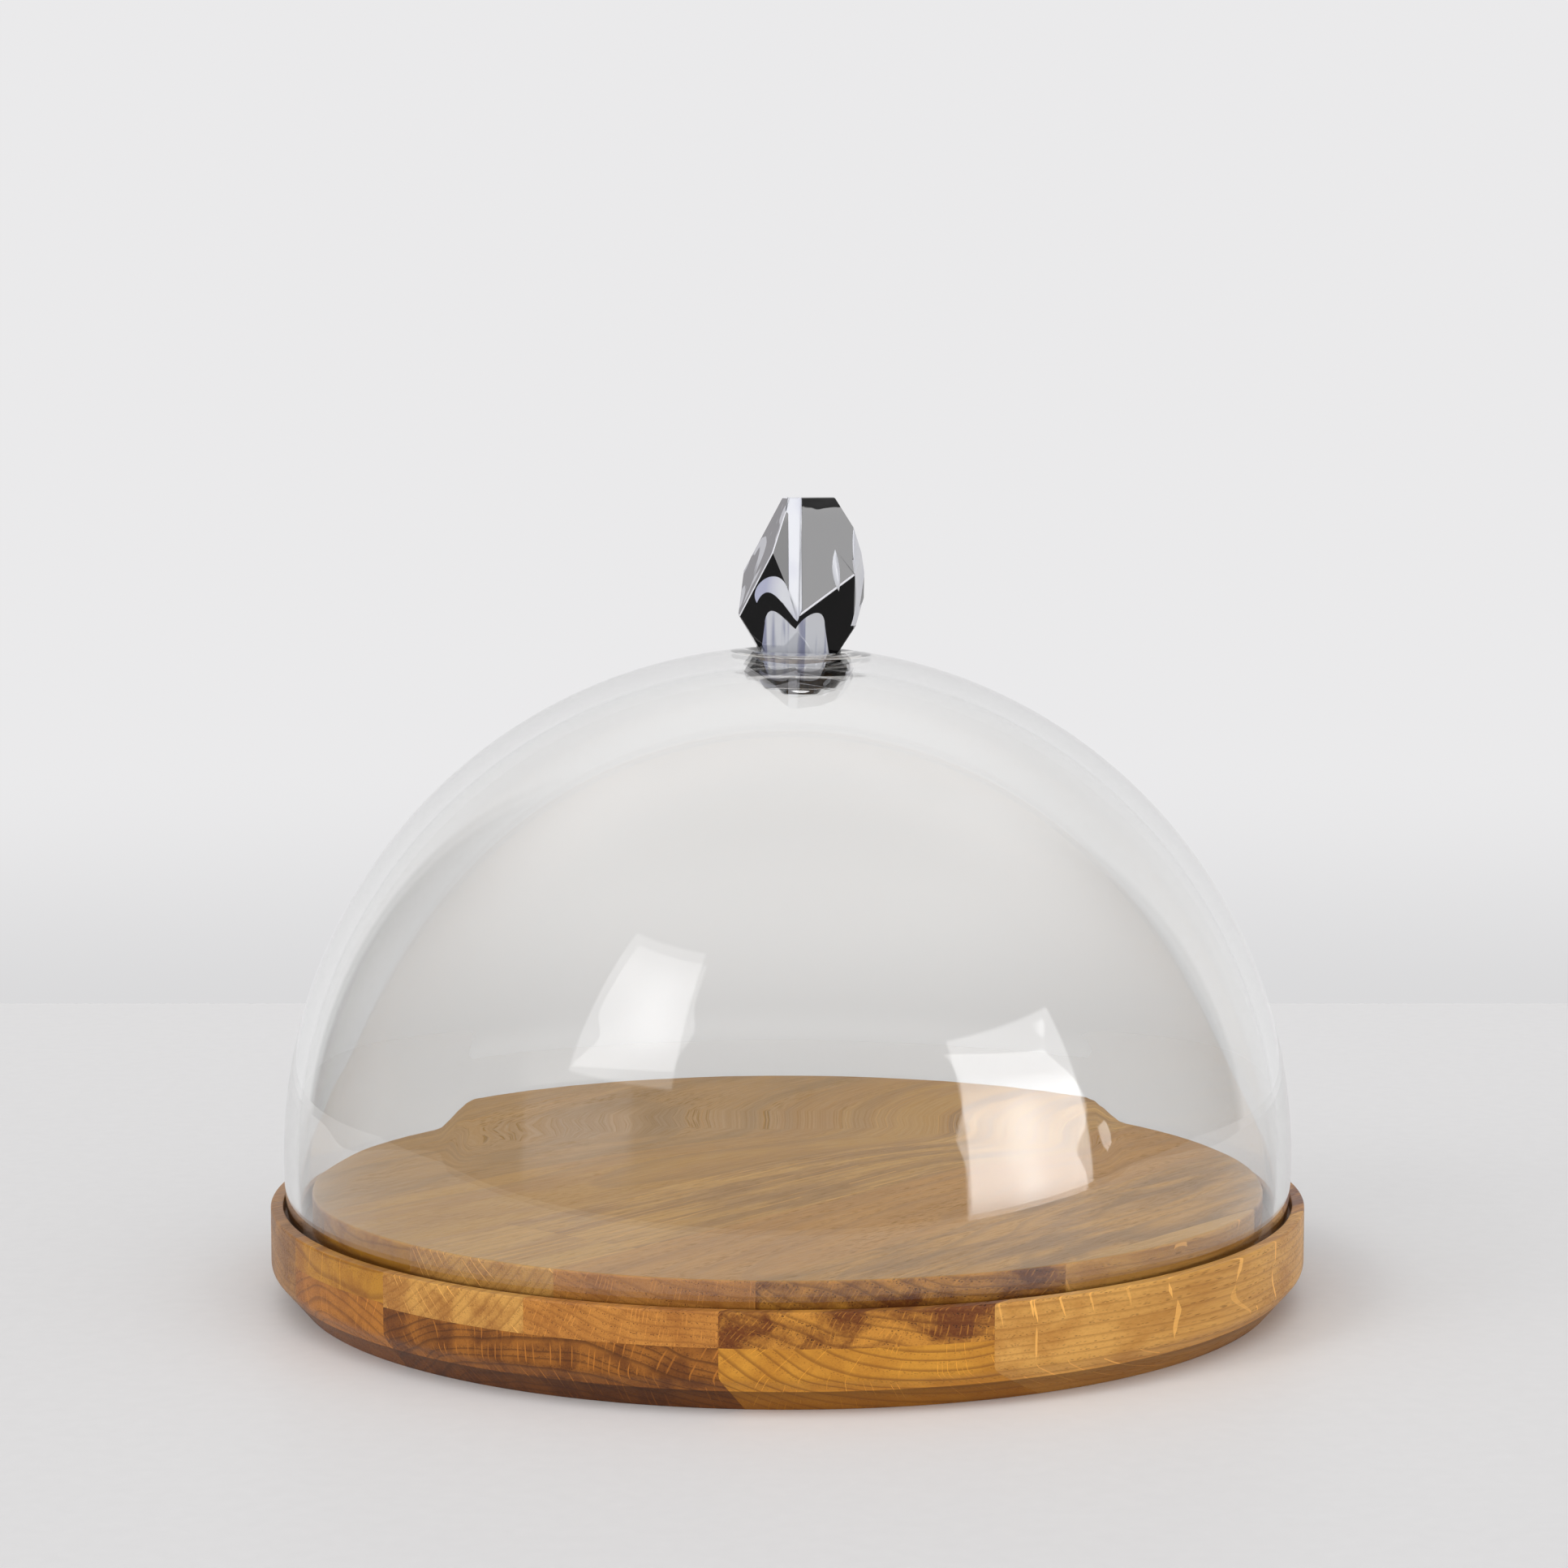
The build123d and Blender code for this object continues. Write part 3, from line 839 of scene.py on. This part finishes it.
def clean_copy(node):
    """A copy of a CAD node's mesh with its flat facets made whole again."""
    bm = bmesh.new()
    bm.from_mesh(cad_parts[node].data)
    bmesh.ops.remove_doubles(bm, verts=bm.verts, dist=MERGE_DISTANCE)
    bmesh.ops.dissolve_limit(bm, angle_limit=FLAT_ANGLE, verts=bm.verts, edges=bm.edges,
                             use_dissolve_boundaries=False)
    return bm


def facing(azimuth, tilt):
    """A direction from its azimuth, from the front towards +X, and its tilt above the horizon."""
    turn, rise = math.radians(azimuth), math.radians(tilt)
    return Vector((math.sin(turn) * math.cos(rise), -math.cos(turn) * math.cos(rise), math.sin(rise)))


def on_large_front_facet(face):
    return face.normal.dot(facing(27, 13)) > math.cos(SAME_FACET_ANGLE)


def on_left_facet(face):
    return face.normal.dot(facing(-69, 20)) > math.cos(SAME_FACET_ANGLE)


def distance_to_segment(point, start, end):
    line = end - start
    share = min(max((point - start).dot(line) / line.length_squared, 0.0), 1.0)
    return (start + line * share - point).length


def between_facets(edge):
    """Whether an edge lies between two cut facets, and not where two glasses meet."""
    if len(edge.link_faces) != 2 or not edge.is_convex:
        return False
    large = min(face.calc_area() for face in edge.link_faces) > SMALL_FACET_SIDE**2
    return large and LEAST_CUT_ANGLE < edge.calc_face_angle(0.0) < MOST_CUT_ANGLE


def has_painted_highlight(edge):
    """Whether an edge gets a painted highlight: under the large front facet, or on the left facet's front
    half.
    """
    middle = (edge.verts[0].co + edge.verts[1].co) / 2
    under_large = any(on_large_front_facet(face) for face in edge.link_faces)
    beside_left = any(on_left_facet(face) for face in edge.link_faces)
    return (under_large and middle.z < HANDLE_TOP - HIGHLIGHT_RIM_DROP) or (beside_left and middle.y < 0)


def assign_facets(bm):
    for face in bm.faces:
        if on_left_facet(face):
            face.material_index = LEFT_FACET_PAINTED_REFLECTION
        # Painted shade: facets facing down take a copy of the black glass with dimmer reflections.
        elif face.normal.z < -0.05:
            face.material_index = PAINTED_SHADE_UNDERSIDE


def round_facet_edges(bm):
    """Eases the edges between cut facets, and gives some of them a painted highlight."""
    cut_edges = [edge for edge in bm.edges if between_facets(edge)]
    highlighted_edges = [edge for edge in cut_edges if has_painted_highlight(edge)]
    plain = [edge for edge in cut_edges if not has_painted_highlight(edge)]
    assign_facets(bm)
    rims = [(edge.verts[0].co.copy(), edge.verts[1].co.copy()) for edge in highlighted_edges]
    eased = bmesh.ops.bevel(bm, geom=highlighted_edges + plain, offset=HANDLE_EDGE, segments=3, profile=0.5,
                            affect="EDGES", clamp_overlap=False)
    for face in eased["faces"]:
        middle = face.calc_center_median()
        if any(distance_to_segment(middle, *rim) < HANDLE_EDGE for rim in rims):
            # Painted highlight: these eased faces take the pale edge colour.
            face.material_index = PAINTED_HIGHLIGHT_EDGE


def add_foot(bm, node):
    """A thin disc of the same glass, fused to the dome's seat and just above it."""
    low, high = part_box(node)
    place = Vector(((low.x + high.x) / 2, (low.y + high.y) / 2, low.z - FOOT_DISC_DROP))
    disc = bmesh.ops.create_circle(bm, cap_ends=True, segments=64, radius=FOOT_DISC_RADIUS)
    bmesh.ops.translate(bm, verts=disc["verts"], vec=place)


def handle_piece(node, slot_name, materials, foot=False):
    """One glass of the handle: its CAD mesh with eased edges, and a foot if it stands on the dome."""
    bm = clean_copy(node)
    round_facet_edges(bm)
    if foot:
        add_foot(bm, node)
    many_sided = [face for face in bm.faces if len(face.verts) > 4]
    bmesh.ops.triangulate(bm, faces=many_sided, ngon_method="EAR_CLIP")
    add_piece(mesh_object(node + "_glass", bm), "dome", slot_name, materials, node)


def make_handle():
    facets = black_glass("black_glass", 0.8)
    # A shaded copy of the black glass for the facets facing down: painted shade as dimmer reflections.
    shaded_underside = black_glass("black_glass_painted_shade", 0.12)
    handle_piece("handle_body", "black_glass", [facets, left_facet_painted_reflection(), edge_painted_highlight(), shaded_underside])
    white = white_glass()
    for node in ("handle_ridge_band", "handle_crescent", "handle_flame", "handle_side_band"):
        handle_piece(node, "white_glass", [white] * 4)
    handle_piece("handle_root", "opal_glass", [opal_glass()] * 4, foot=True)


# -------------------------------------------------------------------- table
def make_table():
    material, g = new_material("table_top")
    grain = g.noise(g.place(), scale=180.0, detail=3.0)
    finish = g.node("ShaderNodeBsdfPrincipled", {
        "Base Color": g.mix(grain, (0.79, 0.785, 0.78, 1), (0.83, 0.825, 0.82, 1)),
        "Normal": g.bump(grain, 0.02 * MM, 0.2)})
    finish.inputs["Roughness"].default_value = 0.5
    finish.inputs["Specular IOR Level"].default_value = 0.12
    g.surface(finish)
    bm = bmesh.new()
    corners = [(-TABLE_HALF_WIDTH, TABLE_FRONT_EDGE), (TABLE_HALF_WIDTH, TABLE_FRONT_EDGE),
               (TABLE_HALF_WIDTH, TABLE_BACK_EDGE), (-TABLE_HALF_WIDTH, TABLE_BACK_EDGE)]
    bm.faces.new([bm.verts.new((x, y, 0)) for x, y in corners])
    table = mesh_object("table", bm)
    table.data.materials.append(material)


# -------------------------------------------------------------------- light
def window(g, value, low, high, soft_low=1, soft_high=1):
    """1 from low to high, fading to 0 over the soft widths outside them."""
    return g.times(g.step(value, low - soft_low, low), g.step(value, high, high + soft_high, 1.0, 0.0))


def spot(g, front, rise, azimuth, height, size):
    """A round spot that fades from 1 at its middle."""
    across = g.times(g.add(front, -azimuth), 1 / size)
    up = g.times(g.add(rise, -height), 1 / size)
    return g.math("EXPONENT", g.times(g.add(g.times(across, across), g.times(up, up)), -1.0))


def left_softbox(g, front, rise):
    """A softbox high on the left, dimmer at its top, with its lamp's hot spot."""
    box = g.times(window(g, front, *LEFT_BOX_SPAN), window(g, rise, *LEFT_BOX_RISE))
    level = g.times(g.step(rise, LEFT_BOX_RISE[1], 44, LEFT_BOX_TOP, 1.0), LEFT_BOX)
    return g.times(box, g.add(level, g.times(spot(g, front, rise, *LEFT_SPOT), LEFT_HOT_SPOT)))


def right_softbox(g, front, rise):
    """A softbox low on the right, brighter in its lower half, fading out at its foot."""
    rise_window = window(g, rise, *RIGHT_BOX_RISE, soft_low=RIGHT_BOX_SOFT_FOOT)
    box = g.times(window(g, front, *RIGHT_BOX_SPAN), rise_window)
    level = g.step(rise, 20, 13, RIGHT_BOX_HIGH, RIGHT_BOX_LOW)
    low_spot = g.times(spot(g, front, rise, *RIGHT_LOW_SPOT), 0.7)
    spots = g.times(g.add(spot(g, front, rise, *RIGHT_SPOT), low_spot), RIGHT_HOT_SPOT)
    return g.times(box, g.add(level, spots))


def room(g, y, back, rise):
    """A dim room under a pale ceiling, with the pale wall behind the table."""
    overhead = g.times(g.step(y, -0.1, 0.35), g.step(rise, 28, 58, 0.0, BACK_CEILING))
    dim_room = g.add(g.step(rise, 18, 62, ROOM_LOW, CEILING), overhead)
    wall = g.times(window(g, back, *BACK_WALL_SPAN, 3, 3),
                   g.step(rise, BACK_WALL_TOP, BACK_WALL_TOP + 4, 1.0, 0.0))
    return g.add(g.times(dim_room, g.one_minus(wall)), g.times(wall, g.add(overhead, WALL)))


def plain_wall(g, rise):
    """What the camera sees behind the object: one wall all round, darker towards the table."""
    foot = g.step(rise, -9.5, -5.0, WALL_FOOT, 1.0)
    below = g.step(rise, -13.0, -9.5, BELOW_TABLE, 1.0)
    return g.times(foot, below, WALL)


def soft_light(g, front, rise):
    """Light on the table, oak and white glass: a key light from the left, a low fill and the room."""
    key = g.times(spot(g, front, rise, *KEY_SPOT), KEY)
    ahead = g.step(g.math("ABSOLUTE", front), 50, 130, 1.0, 0.0)
    fill = g.times(ahead, g.step(rise, 10, 30, FILL, 0.0))
    ambient = g.times(g.step(rise, 5, 60, AMBIENT_LOW, AMBIENT_HIGH),
                      g.math("MULTIPLY_ADD", ahead, AMBIENT_AHEAD, AMBIENT_BEHIND))
    return g.add(ambient, key, fill)


def make_light():
    """A world with one look for the camera, one in reflections, and one that lights matt surfaces."""
    world = bpy.data.worlds.new("studio")
    bpy.context.scene.world = world
    world.use_nodes = True
    g = Graph(world.node_tree)
    x, y, z = g.split(g.node("ShaderNodeTexCoord").outputs["Generated"])
    degrees = 180 / math.pi
    front = g.times(g.math("ARCTAN2", x, g.times(y, -1.0)), degrees)
    back = g.times(g.math("ARCTAN2", x, y), degrees)
    rise = g.times(g.math("ARCSINE", z), degrees)
    around = g.add(room(g, y, back, rise), left_softbox(g, front, rise), right_softbox(g, front, rise))

    # The plain wall is for what the camera sees directly or only through glass.
    path = g.node("ShaderNodeLightPath").outputs
    bounces = g.add(path["Glossy Depth"], path["Diffuse Depth"])
    only_through = g.times(path["Is Transmission Ray"], g.math("LESS_THAN", bounces, 0.5))
    seen = g.math("MAXIMUM", path["Is Camera Ray"], only_through)
    mirrored = g.math("MAXIMUM", path["Is Glossy Ray"], path["Is Transmission Ray"])
    unseen = g.add(g.times(mirrored, around), g.times(g.one_minus(mirrored), soft_light(g, front, rise)))
    level = g.add(g.times(seen, plain_wall(g, rise)), g.times(g.one_minus(seen), unseen))
    background = g.node("ShaderNodeBackground", {"Strength": level})
    background.inputs["Color"].default_value = WORLD_TINT
    g.node("ShaderNodeOutputWorld", {"Surface": background.outputs[0]})


def make_camera():
    camera = bpy.data.objects.new("camera", bpy.data.cameras.new("camera"))
    bpy.context.scene.collection.objects.link(camera)
    camera.location = CAMERA_PLACE
    camera.rotation_euler = (math.pi / 2 - CAMERA_PITCH, 0, 0)
    camera.data.lens = LENS_MM
    camera.data.sensor_width = SENSOR_MM
    camera.data.clip_start = NEAREST
    bpy.context.scene.camera = camera
    bpy.context.scene.view_settings.view_transform = "Standard"


make_camera()
make_light()
make_table()
make_board()
make_dome()
make_handle()
